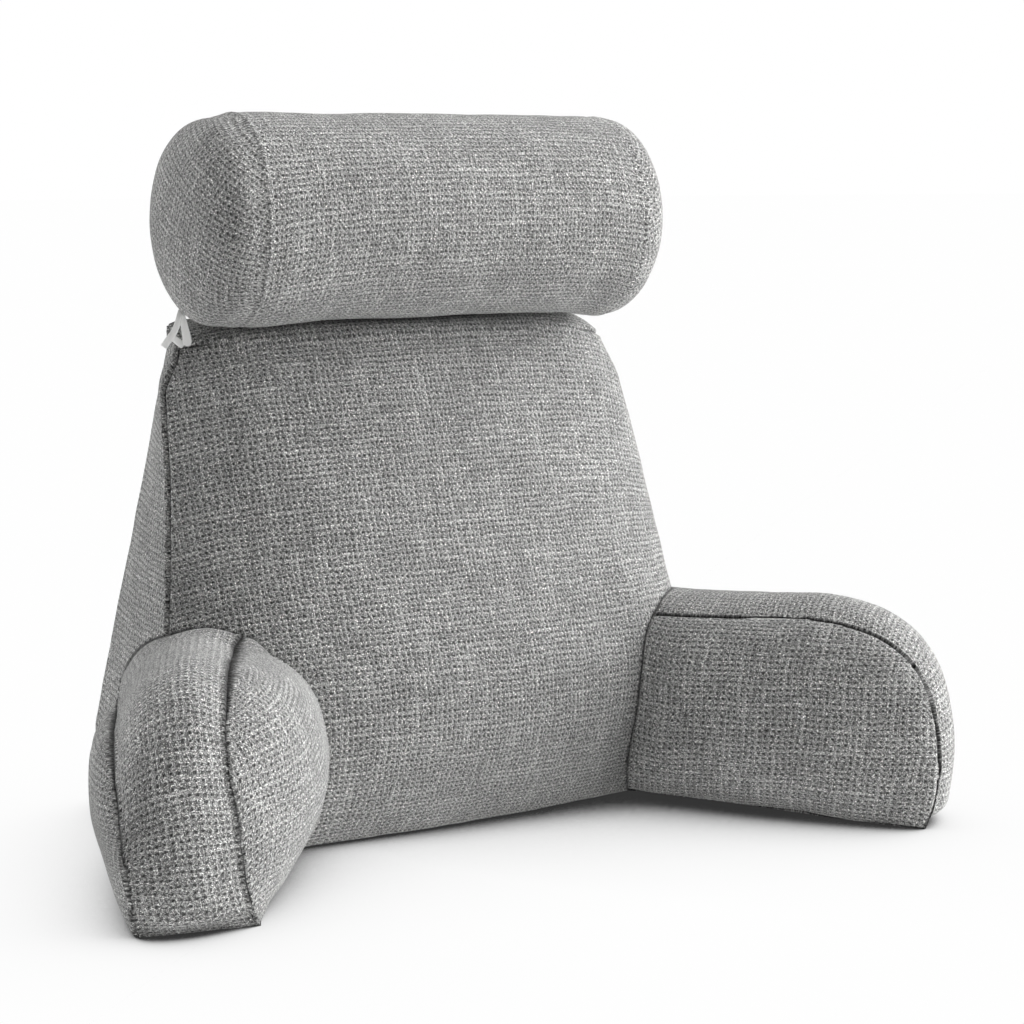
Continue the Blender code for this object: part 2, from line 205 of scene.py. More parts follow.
TAPE_THICKNESS = 0.0012
TAPE_CUP = 0.1
TAPE_ACROSS = (-1.0, -0.93, -0.75, -0.5, -0.25, 0.0, 0.25, 0.5, 0.75, 0.93, 1.0)
TIE_PLACES = {  # the corner under each end of the roll, and how far round the tie faces
    "left": ((-0.194, 0.1362, 0.384), -30.0),
    "right": ((0.1925, 0.166, 0.3995), 84.0),
}
TIE_PARTS = (  # name, width along it, middle line: along the tie's face, above the corner, out
    ("held", (0.0046, 0.0048, 0.0056, 0.0062, 0.007, 0.0078, 0.007), (
        (0.0002, 0.03, -0.0034), (0.0004, 0.027, -0.0006), (0.0014, 0.0215, 0.0004),
        (0.0028, 0.015, 0.0008), (0.004, 0.0085, 0.0008), (0.0042, 0.0035, 0.0002),
        (0.003, -0.001, -0.0022),
    )),
    ("fold", (0.005, 0.0056, 0.006, 0.0056, 0.005), (
        (-0.009, 0.01, 0.0006), (-0.0058, 0.0072, 0.0004), (-0.0022, 0.0044, 0.0002),
        (0.0012, 0.0014, -0.0008), (0.003, -0.001, -0.0026),
    )),
    ("end", (0.0046, 0.0048, 0.0052, 0.0058, 0.006), (
        (-0.0006, 0.03, -0.0026), (-0.0012, 0.0272, 0.0006), (-0.0019, 0.0238, 0.0022),
        (-0.0034, 0.0185, 0.003), (-0.0058, 0.0132, 0.0034), (-0.0086, 0.0088, 0.0038),
        (-0.0116, 0.0048, 0.0036), (-0.0142, 0.0012, 0.0028),
    )),
)

WEAVE_PITCH = 0.0049
WEAVE_DEPTH = 0.0011
YARN_WANDERS = ((0.16, 2.0, 0.7), (0.9, 2.0, 0.18))  # how often, in what detail, how far
FIBRE_CURL = (2.3, 1.0, 0.55)
YARN_LEAN = 0.06  # how far the lengthwise yarns swing in each cell
YARN_HALVES = (0.405, 0.35)  # half widths of lengthwise and crosswise yarns, in cells
TWEED_COLOUR = (0.338, 0.338, 0.331)
STRAND_LIGHT = 0.85
HOOK_LIGHT = 1.05
HOOK_RING = (0.36, 0.13)  # the light fibres curled round each pit: radius, width
SPECK_LIGHT = 1.3
SLUB_LIGHT = 0.4
# painted shade deep in the weave: in its pits and down its yarns' sides
PIT_SHADE = 0.26
# painted shade in the furrows between rows
FURROW_SHADE = 0.28
# painted shade in seams and in crevices between pieces
CREASE_SHADE = 0.16
TAPE_COLOUR = (0.98, 0.98, 0.965)

FLOOR_COLOUR = (0.8, 0.8, 0.8, 1.0)
FLOOR_SIZE = 40.0
FLOOR_GLOW = 0.32  # glow of the floor itself, which lights the pillow from below
FLOOR_SHADE = 1.72  # how deep the painted shadow on the floor is beside the pillow
FLOOR_CLEARING = 6.6  # and how soon it clears
FLOOR_DARKEST = 0.965
FLOOR_SHADE_REACH = 0.28
# direction the painted shadow's occlusion is gathered from
FLOOR_SHADE_FROM = (0.4, 0.4, 0.8)
LAMP_AIM = (0.0, -0.05, 0.25)
LAMP_DISTANCE = 3.0
LAMP_SIZE = 2.0
LAMPS = (  # name, degrees round from the front to the right, degrees up, power
    ("key", 53.0, 35.0, 66.0),
    ("side", 75.0, 10.0, 110.0),
    ("overhead", 0.0, 88.0, 58.0),
    ("fill", -110.0, 30.0, 17.0),
    ("back", -150.0, 10.0, 45.0),
)

CAMERA_PLACE = (-1.089, -2.06, 0.5288)
CAMERA_TURN = (math.radians(90.0 - 7.0501), 0.0, math.radians(-30.098))
CAMERA_LENS = 98.4


# ---- helpers


def smooth(t):
    t = np.clip(t, 0.0, 1.0)
    return t * t * (3.0 - 2.0 * t)


def lerp(a, b, t):
    return a + (b - a) * t


def crown(across, power=PANEL_POWER, fullness=PANEL_FULLNESS):
    """1 along a panel's middle line and 0 at its edges, where across is -1 and 1."""
    return np.clip(1.0 - np.abs(across) ** power, 0.0, 1.0) ** fullness


def table_curve(table, t):
    """The values at t of a smooth curve through a table of (t, value) rows."""
    at = np.array([row[0] for row in table])
    value = np.array([row[1] for row in table])
    slope = np.gradient(value, at)
    spot = np.clip(np.searchsorted(at, t) - 1, 0, len(at) - 2)
    width = at[spot + 1] - at[spot]
    share = np.clip((t - at[spot]) / width, 0.0, 1.0)
    start, end = value[spot], value[spot + 1]
    bend = share * (1.0 - share) * width
    turn = slope[spot] * (1.0 - share) - slope[spot + 1] * share
    return start + (end - start) * smooth(share) + bend * turn


def arc(points):
    """Distance along a line of points, or up the columns of a grid, from the first."""
    steps = np.linalg.norm(np.diff(points, axis=0), axis=-1)
    return np.concatenate((0 * steps[:1], np.cumsum(steps, axis=0)))


def level_line(values):
    """The values as points of a straight line."""
    return np.stack((values, 0 * values), axis=-1)


def spaced(curve, low, high, seam_low=True):
    """Values from low to high that lie evenly along curve, and densely beside its seams."""
    values = np.linspace(low, high, 1200)
    along = arc(curve(values))
    total = along[-1]
    near = np.array(SEAM_STEPS)
    start = near if seam_low else near[:1]
    end = total - near[::-1]
    count = max(2, round((end[0] - start[-1]) / MESH_STEP))
    middle = np.linspace(start[-1], end[0], count + 1)[1:-1]
    return np.interp(np.concatenate((start, middle, end)), along, values)


def grid_quads(numbers):
    """The quads of a grid of point numbers."""
    corners = (numbers[:-1, :-1], numbers[:-1, 1:], numbers[1:, 1:], numbers[1:, :-1])
    return np.stack(corners, axis=-1).reshape(-1, 4)


def unit(vectors):
    return vectors / np.linalg.norm(vectors, axis=-1, keepdims=True)


class Cloth:
    """A piece's panels: points, faces, and the lengthwise and crosswise run of the weave."""

    def __init__(self, node):
        self.node, self.heading = node, None
        self.points, self.faces, self.weave, self.seams, self.rounding = ([] for _ in range(5))

    def panel(self, grid, weave, flip=False):
        """Adds a grid of points (rows, columns, 3) with weave coordinates (rows, columns, 2)."""
        first = sum(len(points) for points in self.points)
        quads = grid_quads(first + np.arange(grid[..., 0].size).reshape(grid.shape[:2]))
        self.points.append(grid.reshape(-1, 3))
        self.faces.append(quads[:, ::-1] if flip else quads)
        self.weave.append(weave.reshape(-1, 2))

    def seam(self, line, depth=SEAM_DEPTH, reach=SEAM_REACH, lip=SEAM_LIP):
        """A seam along a line of points. Depth may be one number or one for each point."""
        self.seams.append((line, np.broadcast_to(depth, len(line)), reach, lip))


def weave_map(grid, shift=(0.0, 0.0)):
    """Weave coordinates of a grid, in metres along its rows and columns from its middle."""
    across, up = arc(grid.swapaxes(0, 1)), arc(grid)
    across, up = (away - away[len(away) // 2] for away in (across, up))
    across = across.T
    return turned(np.stack((across, up), axis=-1), shift=shift)


def turned(weave, turn=0.0, stretch=(1.0, 1.0), shift=(0.0, 0.0)):
    cos, sin = math.cos(turn), math.sin(turn)
    u = (weave[..., 0] * cos - weave[..., 1] * sin) * stretch[0] + shift[0]
    v = (weave[..., 0] * sin + weave[..., 1] * cos) * stretch[1] + shift[1]
    return np.stack((u, v), axis=-1)


# ---- backrest


def near_top(up, height):
    return smooth((up - 1.0 + height) / height)


def wedge_frame(across, up, through):
    front = lerp(*FRONT_SEAM, up[..., None])
    back = lerp(*BACK_SEAM, up[..., None])
    drawn = np.where(across < 0.0, *CORNER_DRAW) * near_top(up, CORNER_DRAW_HEIGHT)
    drawn = drawn + np.where(across < 0.0, table_curve(LEFT_SEAM_DRAW, up), 0.0)
    front[..., 0] = across * (front[..., 0] - drawn) + TOP_SHIFT * up
    low = smooth(1.0 - back[..., 2] / BACK_CORNER_HEIGHT)
    tucked = BACK_CORNER_TUCK * np.abs(across) ** 6 * low
    ear = BACK_EAR * near_top(up, BACK_EAR_HEIGHT)
    back[..., 0] = across * (back[..., 0] + ear - tucked) + TOP_SHIFT * up
    back[..., 1] -= BACK_CORNER_FORWARD * tucked
    front[..., 1] += BASE_SKEW * across * smooth(1.0 - up / BASE_SKEW_HEIGHT)
    front[..., 1] -= table_curve(FRONT_CROWN, up) * crown(across)
    aside = (across - ARM_PUFF_PLACE[0]) / ARM_PUFF_SIZE[0]
    above = (up - ARM_PUFF_PLACE[1]) / ARM_PUFF_SIZE[1]
    puff = np.exp(-aside ** 2 - above ** 2)
    front[..., 1] -= ARM_PUFF * puff * smooth((1.0 - np.abs(across)) / 0.1)
    lift = TOP_LIFT * (1.0 + TOP_LIFT_LEAN * across) * crown(across)
    front[..., 2] += lift * near_top(up, TOP_LIFT_HEIGHT)
    back[..., 1] += BACK_CROWN * crown(across)
    return lerp(front, back, through[..., None])


def wedge(across, up, through):
    """Points of the wedge: across from -1 to 1, up from 0 to 1, through from front to back."""
    across, up, through = (a.astype(float) for a in np.broadcast_arrays(across, up, through))
    point = wedge_frame(across, up, through)
    depth = 4.0 * through * (1.0 - through)
    at_side = np.abs(across) > AT_EDGE
    ease = smooth(up / GUSSET_EASE) * smooth((1.0 - up) / GUSSET_EASE)
    point[..., 0] += np.where(at_side, np.sign(across) * GUSSET_CROWN * depth * ease, 0.0)
    at_top = up > AT_EDGE
    rise = TOP_CROWN * depth ** TOP_FULLNESS * crown(across)
    point[..., 2] += np.where(at_top, rise, 0.0)
    tuck = BASE_TUCK * (1.0 - np.minimum(point[..., 2] / BASE_EDGE, 1.0)) ** 2
    inside = wedge_frame(across * 0.8, up, np.full_like(up, 0.5)) - point
    inside[..., 2] = 0.0
    inside /= np.maximum(np.linalg.norm(inside, axis=-1, keepdims=True), 1e-9)
    point += inside * np.where(at_top, 0.0, tuck)[..., None]
    return keep_under_roll(point)


def pressed(x, down):
    """How far the roll's underside is pressed in. Down is 1 at its lowest line."""
    from_left = smooth((x + ROLL_SEAM) / ROLL_FLAT_EASE[0])
    from_right = smooth((ROLL_SEAM - x) / ROLL_FLAT_EASE[1])
    return ROLL_FLAT * from_left * from_right * np.maximum(down, 0.0) ** 2


def keep_under_roll(point):
    reach = ROLL_RADIUS + CLEAR + ROLL_SPARE
    away = point[..., 1] - ROLL_CENTRE[1]
    under = (np.abs(point[..., 0]) < ROLL_SEAM + ROLL_END_CROWN) & (np.abs(away) < reach)
    down = np.sqrt(np.maximum(reach ** 2 - away ** 2, 0.0))
    underside = ROLL_CENTRE[2] - down + pressed(point[..., 0], down / reach)
    point[..., 2] = np.where(under, np.minimum(point[..., 2], underside), point[..., 2])
    return point


def front_weave(front, wide):
    """The front's weave: its rows sink toward both sides and crowd together low down."""
    weave = weave_map(front)
    stretch = table_curve(FRONT_STRETCH, 0.5 * (wide[1:] + wide[:-1]))
    widths = np.cumsum(np.diff(weave[..., 0], axis=1) * stretch, axis=1)
    across = np.pad(widths, ((0, 0), (1, 0)))
    across -= across[:, len(wide) // 2][:, None]
    from_left = weave[..., 0] - weave[:, :1, 0]
    from_right = weave[:, -1:, 0] - weave[..., 0]
    height = front[..., 2]
    crowd = [amount * np.maximum(below - height, 0.0) ** 2 for amount, below in FOOT_CROWD]
    across += crowd[0]
    sink = ROWS_SINK_LEFT[0] * np.exp(-from_left / ROWS_SINK_LEFT[1])
    high = smooth((height - ROWS_SINK_FROM[0]) / ROWS_SINK_FROM[1])
    sink += ROWS_SINK_RIGHT[0] * np.exp(-from_right / ROWS_SINK_RIGHT[1]) * high
    return np.stack((across, weave[..., 1] + sink - crowd[1]), axis=-1)


def build_backrest():
    cloth = Cloth("backrest")
    wide = spaced(lambda a: wedge(a, 0.45, 0.0), -1.0, 1.0)
    high = spaced(lambda u: wedge(0.0, u, 0.0), 0.0, 1.0)
    deep = spaced(lambda t: wedge(1.0, 0.5, t), 0.0, 1.0)
    front, back = (wedge(wide[None, :], high[:, None], t) for t in (0.0, 1.0))
    left, right = (wedge(a, high[:, None], deep[None, :]) for a in (-1.0, 1.0))
    base, top = (wedge(wide[None, :], u, deep[:, None]) for u in (0.0, 1.0))
    weave = front_weave(front, wide)
    cloth.panel(front, weave)
    cloth.panel(back, weave_map(back, shift=(0.31, 0.17)), flip=True)
    cloth.panel(left, weave_map(left, shift=(0.11, 0.43)), flip=True)
    cloth.panel(right, weave_map(right, shift=(0.71, 0.29)))
    across = np.broadcast_to(weave[-1, :, 0], top.shape[:2])
    cloth.panel(top, np.stack((across, weave[-1, :, 1] + arc(top)), axis=-1))
    cloth.panel(base, weave_map(base, shift=(0.83, 0.91)), flip=True)
    past_roll, ease = TOP_CORNER
    corner = smooth(1.0 - (ROLL_SEAM + past_roll - np.abs(front[-1, :, 0])) / ease)
    cloth.rounding.append((front[-1], TOP_ROUNDING, 1.0 - corner))
    for side in (slice(0, 4), slice(-4, None)):
        cloth.rounding.append((back[-1, side], CORNER_ROUNDING, np.ones(4)))
    cloth.seam(front[:, 3], **LEFT_SEAM)
    for edge in (front[:, -1], back[:, 0], back[:, -1], back[-1], left[-1], right[-1]):
        cloth.seam(edge)
    for edge in (front[0], back[0], left[0], right[0]):
        cloth.seam(edge, depth=FLOOR_SEAM_DEPTH)
    cloth.seam(front[-1], depth=TOP_SEAM_DEPTH * corner, reach=TOP_SEAM_REACH)
    return cloth


# ---- arms


def rounded(points, spacing=0.001, scale=(1.0, 1.0)):
    """A smooth line through the points, sampled every spacing."""
    points = np.array(points, float) * scale
    ends = np.vstack((2 * points[0] - points[1], points, 2 * points[-1] - points[-2]))
    line = []
    for before, start, end, after in zip(ends, ends[1:], ends[2:], ends[3:]):
        count = max(2, int(np.linalg.norm(end - start) / spacing))
        t = np.linspace(0.0, 1.0, count, endpoint=False)[:, None]
        line.append(0.5 * (2 * start + (end - before) * t
                           + (2 * before - 5 * start + 4 * end - after) * t ** 2
                           + (3 * start - before - 3 * end + after) * t ** 3))
    return np.vstack(line + [points[-1:]]) / scale


def dropped(height):
    """How much of the outer edge's drop there is at this height."""
    return smooth((height - ARM_DROP_FROM) / ARM_DROP_EASE)


def arm_point(plan, share, height, across):
    """A point of the arm's strip. Across is 0 at the inner seam and 1 at the outer."""
    drop = plan["drop"] * dropped(height)
    ear_share, ear_width, ear_height, ear_ease = ARM_EAR
    ear = plan["ear"] * np.exp(-((share - ear_share) / ear_width) ** 2)
    ear = ear * smooth((height - ear_height) / ear_ease)
    rise = plan["rise"] * smooth(height / ARM_HEIGHT) + ear * (1.0 - across) ** 2
    sideways = np.subtract(plan["outer"]["foot"], plan["inner"]["foot"])
    sideways /= np.linalg.norm(sideways)
    edges = []
    for name, level in (("inner", height + rise), ("outer", height + rise - drop)):
        back, foot = np.array(plan[name]["back"]), np.array(plan[name]["foot"])
        lean = table_curve(plan[name]["lean"], level)
        high, far = BACK_LEAN_EASE
        lean = lean + plan["back_lean"] * smooth(level / high) * smooth(1.0 - share / far)
        if name == "inner":
            lean = lean - ear
        else:
            high, far = TAIL_FLARE_EASE
            lean = lean + plan["flare"] * (smooth(1.0 - level / high) * smooth(1.0 - share / far))
        edges.append(lerp(back, foot, share[..., None]) + sideways * lean[..., None])
    place = lerp(*edges, across[..., None])
    top = height + rise - drop * across ** ARM_DROP_POWER
    return np.concatenate((place, top[..., None]), axis=-1)


def side_normal(plan, name):
    back, other = plan[name]["back"], plan["inner" if name == "outer" else "outer"]["back"]
    along = np.subtract(plan[name]["foot"], back)
    normal = np.array((-along[1], along[0])) / np.linalg.norm(along)
    if normal @ np.subtract(back, other) < 0.0:
        normal = -normal
    return np.array((*normal, 0.0))


def pick(line, scale, seam_low=True, shares=None):
    """Points of the line at these shares of it, or evenly but densely beside its seams."""
    along = arc(line * scale)
    if shares is None:
        values = spaced(level_line, 0.0, along[-1], seam_low)
    else:
        values = shares * along[-1]
    points = [np.interp(values, along, line[:, axis]) for axis in (0, 1)]
    return np.stack(points, axis=-1), values / along[-1]


def arm_edges(length):
    """The side panel's four edges as (share of length, height): bottom, front, top and tail."""
    scale = (length, 1.0)
    outline = rounded(ARM_OUTLINE, scale=scale)
    corner = np.argmin(np.linalg.norm((outline - ARM_CORNER) * scale, axis=1))
    top_line = outline[:corner + 1]
    front_line = outline[corner:][::-1]
    share = np.linspace(ARM_TAIL_SHARE, 1.0, 400)
    bottom_line = np.stack((share, ARM_LIFT * smooth((0.8 - share) / 0.25)), axis=-1)
    heights = np.linspace(bottom_line[0, 1], top_line[0, 1], 200)
    tail_line = np.stack((np.full(200, ARM_TAIL_SHARE), heights), axis=-1)
    bottom, shares = pick(bottom_line, scale, seam_low=False)
    top, _ = pick(top_line, scale, shares=shares)
    front, rises = pick(front_line, scale)
    tail, _ = pick(tail_line, scale, shares=rises)
    return bottom, front, top, tail, shares, rises


def fill_edges(bottom, front, top, tail, shares, rises):
    """A grid (rows up, columns along) between four edges."""
    s, t = shares[None, :, None], rises[:, None, None]
    ruled = (1 - t) * bottom[None] + t * top[None] + (1 - s) * tail[:, None] + s * front[:, None]
    corners = ((1 - s) * (1 - t) * bottom[0] + s * (1 - t) * bottom[-1]
               + (1 - s) * t * top[0] + s * t * top[-1])
    return ruled - corners


def bulge_at(panel, flat, shares, rises):
    """How far the side panel stands out at each point of its grid."""
    flat_end, full_from = panel["start"]
    start = smooth((flat[..., 0] - flat_end) / (full_from - flat_end))
    front = crown(np.clip(2.0 * shares - 1.0, 0.0, 1.0), BULGE_POWER, panel["front"])
    up = crown(2.0 * rises ** panel["high"] - 1.0, BULGE_POWER, panel["full"])
    bulge = panel["bulge"] * start * front[None, :] * up[:, None]
    bulge[0] = bulge[-1] = 0.0
    bulge[:, 0] = bulge[:, -1] = 0.0
    return bulge


def side_weave(flat, bulge, length, step=0.003):
    """The weave of a side panel: distances over its bulge, along and up."""
    place = flat * (length, 1.0)
    quads = grid_quads(np.arange(bulge.size).reshape(bulge.shape))
    points = np.concatenate((place, bulge[..., None]), axis=-1).reshape(-1, 3)
    tree = BVHTree.FromPolygons(points.tolist(), quads.tolist())
    low, high = place.reshape(-1, 2).min(0), place.reshape(-1, 2).max(0)
    xs, zs = (np.arange(low[axis], high[axis] + step, step) for axis in (0, 1))
    level = [[tree.ray_cast((x, z, 1.0), (0.0, 0.0, -1.0))[0] for x in xs] for z in zs]
    level = np.array([[hit.z if hit else 0.0 for hit in row] for row in level])
    over_x = np.cumsum(np.hypot(step, np.diff(level, axis=1, prepend=level[:, :1])), axis=1)
    over_z = np.cumsum(np.hypot(step, np.diff(level, axis=0, prepend=level[:1])), axis=0)
    over_x -= over_x[:, len(xs) // 2][:, None]
    spot = (place - low) / step
    cell = np.clip(np.floor(spot).astype(int), 0, (len(xs) - 2, len(zs) - 2))
    share = spot - cell
    column, row = cell[..., 0], cell[..., 1]
    weave = []
    for field in (over_x, over_z):
        bottom = lerp(field[row, column], field[row, column + 1], share[..., 0])
        top = lerp(field[row + 1, column], field[row + 1, column + 1], share[..., 0])
        weave.append(lerp(bottom, top, share[..., 1]))
    return np.stack(weave, axis=-1)


def build_strip(cloth, side, length, forward, edges):
    """The strip all round between an arm's side panels, and its small folds."""
    plan = ARM_PLANS[side]
    bottom, front, top, tail = edges[:4]
    loop = np.vstack((bottom, front[1:], top[::-1][1:], tail[::-1][1:]))
    tangent = np.gradient(loop * (length, 1.0), axis=0)
    tangent[0] = tangent[-1] = tangent[1]
    tangent = unit(tangent)
    outward = forward * tangent[:, 1:] - tangent[:, :1] * (0, 0, 1)
    width = spaced(lambda a: level_line(a * STRIP_WIDTH), 0.0, 1.0)
    share, height, a = np.broadcast_arrays(loop[:, :1], loop[:, 1:], width)
    strip = arm_point(plan, share, height, a)
    on_floor = np.ones(len(loop), bool)
    on_floor[len(bottom):-len(tail)] = False
    puff = plan["crown"] * crown(2.0 * a - 1.0, fullness=1.0)
    puff = puff * np.where(on_floor, 0.0, smooth(loop[:, 1] / STRIP_EASE))[:, None]
    sideways = side_normal(plan, "outer") * np.maximum(outward[:, 2], 0.0)[:, None, None]
    tilt = plan["drop"] * STRIP_TILT * a[..., None]
    strip = strip + (outward[:, None, :] + sideways * tilt) * puff[..., None]
    weave = weave_map(strip)
    sunk = STRIP_SINK * plan["drop"] * dropped(loop[:, 1])[:, None] * width ** ARM_DROP_POWER
    bow = STRIP_BOW * (1.0 - (2.0 * width - 1.0) ** 2)
    weave[..., 1] = arc(strip[:, 0])[:, None] - sunk - bow
    weave = turned(weave, stretch=STRIP_STRETCH, shift=(0.77, 0.19))
    cloth.panel(strip, weave, flip=side == "right")
    for high, start, end, depth in PLEATS[side]:
        row = len(bottom) + np.argmin(np.abs(front[1:, 1] - high))
        pleat = strip[row, (width >= start) & (width <= end)]
        taper = np.linspace(0.0, 1.0, len(pleat))
        if start < 0.5:
            taper = 1.0 - taper
        cloth.seam(pleat, depth=depth * taper, reach=PLEAT_REACH)


def build_arm(side):
    plan = ARM_PLANS[side]
    cloth = Cloth(f"arm_{side}")
    along = np.subtract(plan["inner"]["foot"], plan["inner"]["back"])
    length = np.linalg.norm(along)
    forward = np.array((*along, 0.0)) / length
    edges = arm_edges(length)
    flat = fill_edges(*edges)
    for name, across in (("inner", 0.0), ("outer", 1.0)):
        grid = arm_point(plan, flat[..., 0], flat[..., 1], np.full(flat.shape[:2], across))
        bulge = bulge_at(plan[name], flat, *edges[4:])
        grid = grid + side_normal(plan, name) * bulge[..., None]
        weave = side_weave(flat, bulge, length)
        weave[..., 1] += plan[name]["slant"] * weave[..., 0]
        weave[..., 1] += plan["bow"] * ((flat[..., 0] - SIDE_BOW_MIDDLE) * length) ** 2
        weave[..., 0] += plan["shear"] * np.maximum(SIDE_SHEAR_BELOW - flat[..., 1], 0.0) ** 2
        weave = turned(weave, stretch=SIDE_STRETCH, shift=(0.13 + across, 0.37))
        cloth.panel(grid, weave, flip=(side == "left") == (name == "inner"))
        cloth.seam(np.vstack((grid[0], grid[1:, -1], grid[-1, ::-1][1:], grid[::-1, 0][1:])))
    build_strip(cloth, side, length, forward, edges)
    cloth.heading = -forward
    return cloth


# ---- neck roll


def build_roll():
    cloth = Cloth("neck_roll")
    long = spaced(level_line, -ROLL_SEAM, ROLL_SEAM)
    sides = round(2 * math.pi * ROLL_RADIUS / MESH_STEP)
    angle = np.linspace(-math.pi, math.pi, sides + 1)
    closed = np.concatenate((angle[-1:], angle[1:]))
    circle = np.stack((0 * closed, -np.sin(closed), np.cos(closed)), axis=-1) * ROLL_RADIUS
    drawn = ROLL_SEAM_DRAW[0] + ROLL_SEAM_DRAW[1] * circle[:, 2] ** 2 / ROLL_RADIUS ** 2
    leftward = smooth((-long[None] - ROLL_DRAW_FROM) / (ROLL_SEAM - ROLL_DRAW_FROM))
    tube = np.repeat(circle[:, None, :], len(long), axis=1) + ROLL_CENTRE
    tube[..., 0] += long[None] + drawn[:, None] * leftward
    tube[..., 2] += pressed(long[None], -np.cos(angle)[:, None])
    stretch = table_curve(ROLL_STRETCH, 0.5 * (long[1:] + long[:-1]))
    across = np.concatenate(([0.0], np.cumsum(np.diff(long) * stretch)))
    spread = ROLL_ROWS_SPREAD[0] * np.exp(-(long + ROLL_SEAM) / ROLL_ROWS_SPREAD[1])
    around = -ROLL_RADIUS * angle[:, None] * (1.0 - spread)[None]
    around = around + ROLL_ROWS_TURN[0] * np.exp((long - ROLL_SEAM) / ROLL_ROWS_TURN[1])[None]
    cloth.panel(tube, np.stack((np.broadcast_to(across, around.shape), around), axis=-1))

    def end_profile(q):
        share = np.sin(q) ** ROLL_END_POWERS[0]
        return share, ROLL_END_CROWN * np.maximum(np.cos(q), 0.0) ** ROLL_END_POWERS[1]

    def end_line(q):
        share, out = end_profile(q)
        return np.stack((ROLL_RADIUS * share, out), axis=-1)

    quarter = spaced(end_line, 1e-4, math.pi / 2 - 1e-4, seam_low=False)
    quarter[0], quarter[-1] = 0.0, math.pi / 2
    cap, cap_out = end_profile(quarter)
    cap_out[-1] = 0.0
    for end in (-1.0, 1.0):
        more = 9 if end < 0.0 else 0
        inward = np.concatenate((0.0 * cap, np.linspace(0.0, 1.0, 10)[1:more + 1]))
        share = np.concatenate((cap, np.ones(more)))
        out = np.concatenate((cap_out, np.zeros(more)))
        profile = np.stack((ROLL_RADIUS * share, out - ROLL_SEAM_DRAW[0] * inward), axis=-1)
        reach = arc(profile)[None]
        slack = ROLL_END_SLACK[0] + ROLL_END_SLACK[1] * np.maximum(np.cos(angle), 0.0) ** 1.5
        slack = slack[:, None] * (1.0 - inward) if end < 0.0 else 0.0 * angle[:, None]
        disc = circle[:, None, :] * (share * (1.0 - slack))[..., None] + ROLL_CENTRE
        disc[..., 0] += end * (ROLL_SEAM + out - drawn[:, None] * inward)
        weave = (end * -np.sin(angle)[:, None] * reach, np.cos(angle)[:, None] * reach)
        weave = turned(np.stack(weave, axis=-1), turn=ROLL_END_TURN * end, shift=(0.4 + end, 0.9))
        cloth.panel(disc, weave, flip=end > 0)
        cloth.seam(disc[:, -1], depth=ROLL_SEAM_DEPTHS[end], reach=ROLL_SEAM_REACH, lip=0.0)
        cloth.rounding.append((disc[:, -1], CORNER_ROUNDING, np.full(len(disc), ROLL_SOFTNESS)))
    return cloth


# ---- ties


def tape(name, line, widths, facing):
    """A flat woven tape along a line of points: its mesh, and the line that it follows."""
    line = rounded(line, spacing=0.0006, scale=1.0)
    along = arc(line)
    width = np.interp(along / along[-1], np.linspace(0.0, 1.0, len(widths)), widths)
    tangent = unit(np.gradient(line, axis=0))
    side = unit(np.cross(tangent, facing))
    up = np.cross(side, tangent)
    across = np.array(TAPE_ACROSS)
    half = TAPE_THICKNESS / 2.0 * (1.0 - np.abs(across) ** 8) ** 0.5
    front, back = (np.stack((across, sign * half), axis=-1) for sign in (1.0, -1.0))
    ring = np.concatenate((front, back[-2:0:-1]))
    aside = ring[:, 0] * width[:, None] / 2.0
    out = ring[:, 1] - TAPE_CUP * width[:, None] * (ring[:, 0] ** 2 - 0.5)
    points = line[:, None] + side[:, None] * aside[..., None] + up[:, None] * out[..., None]
    weave = np.stack((aside, np.broadcast_to(along[:, None], aside.shape)), axis=-1)
    numbers = np.arange(len(line) * len(ring)).reshape(len(line), len(ring))
    faces = grid_quads(np.hstack((numbers, numbers[:, :1]))).tolist()
    faces += [numbers[0, ::-1].tolist(), numbers[-1].tolist()]
    mesh = bpy.data.meshes.new(name)
    mesh.from_pydata(np.concatenate(points).tolist(), [], faces)
    set_weave(mesh, np.concatenate(weave), np.concatenate(faces))
    return mesh, line


def build_tie(side, material):
    """The tie at one end of the roll: its free end, and the end held in the corner's seam."""
    corner, turn = TIE_PLACES[side]
    turn = math.radians(turn)
    right = np.array((math.cos(turn), math.sin(turn), 0.0))
    facing = np.array((math.sin(turn), -math.cos(turn), 0.0))
    for part, widths, rows in TIE_PARTS:
        rows = np.array(rows)
        line = corner + rows[:, :1] * right + rows[:, 1:2] * (0, 0, 1) + rows[:, 2:] * facing
        line[:, 1] -= BASE_MIDDLE
        mesh, line = tape(f"tie_{side}_{part}", line, widths, facing)
        add_piece(mesh, f"tie_{side}", material)


# ---- cloth to mesh


def set_weave(mesh, weave, corners):
    """Stores the weave's coordinates at each corner of the faces."""
    layer = mesh.uv_layers.new(name="weave")
    layer.data.foreach_set("uv", weave[corners].astype(np.float32).reshape(-1))


def weld(cloth):
    """Makes the cloth's mesh, with its panels' shared edges joined and its soft ones rounded."""
    cloth.mesh = mesh = bpy.data.meshes.new(f"{cloth.node}_cushion")
    faces = np.vstack(cloth.faces)
    mesh.from_pydata(np.vstack(cloth.points), [], faces.tolist())
    set_weave(mesh, np.vstack(cloth.weave), faces.reshape(-1))
    shell = bmesh.new()
    shell.from_mesh(mesh)
    bmesh.ops.remove_doubles(shell, verts=shell.verts, dist=WELD)
    shell.to_mesh(mesh)
    shell.free()
    for rounding in cloth.rounding:
        relax(mesh, *rounding)


def vectors(mesh, key):
    values = np.empty(len(mesh.vertices) * 3)
    mesh.vertices.foreach_get(key, values)
    return values.reshape(-1, 3)


def points_of(mesh):
    return vectors(mesh, "co")


def set_points(mesh, co):
    mesh.vertices.foreach_set("co", co.reshape(-1))
    mesh.update()


def face_tree(mesh):
    faces = [tuple(face.vertices) for face in mesh.polygons]
    return BVHTree.FromPolygons(points_of(mesh).tolist(), faces)


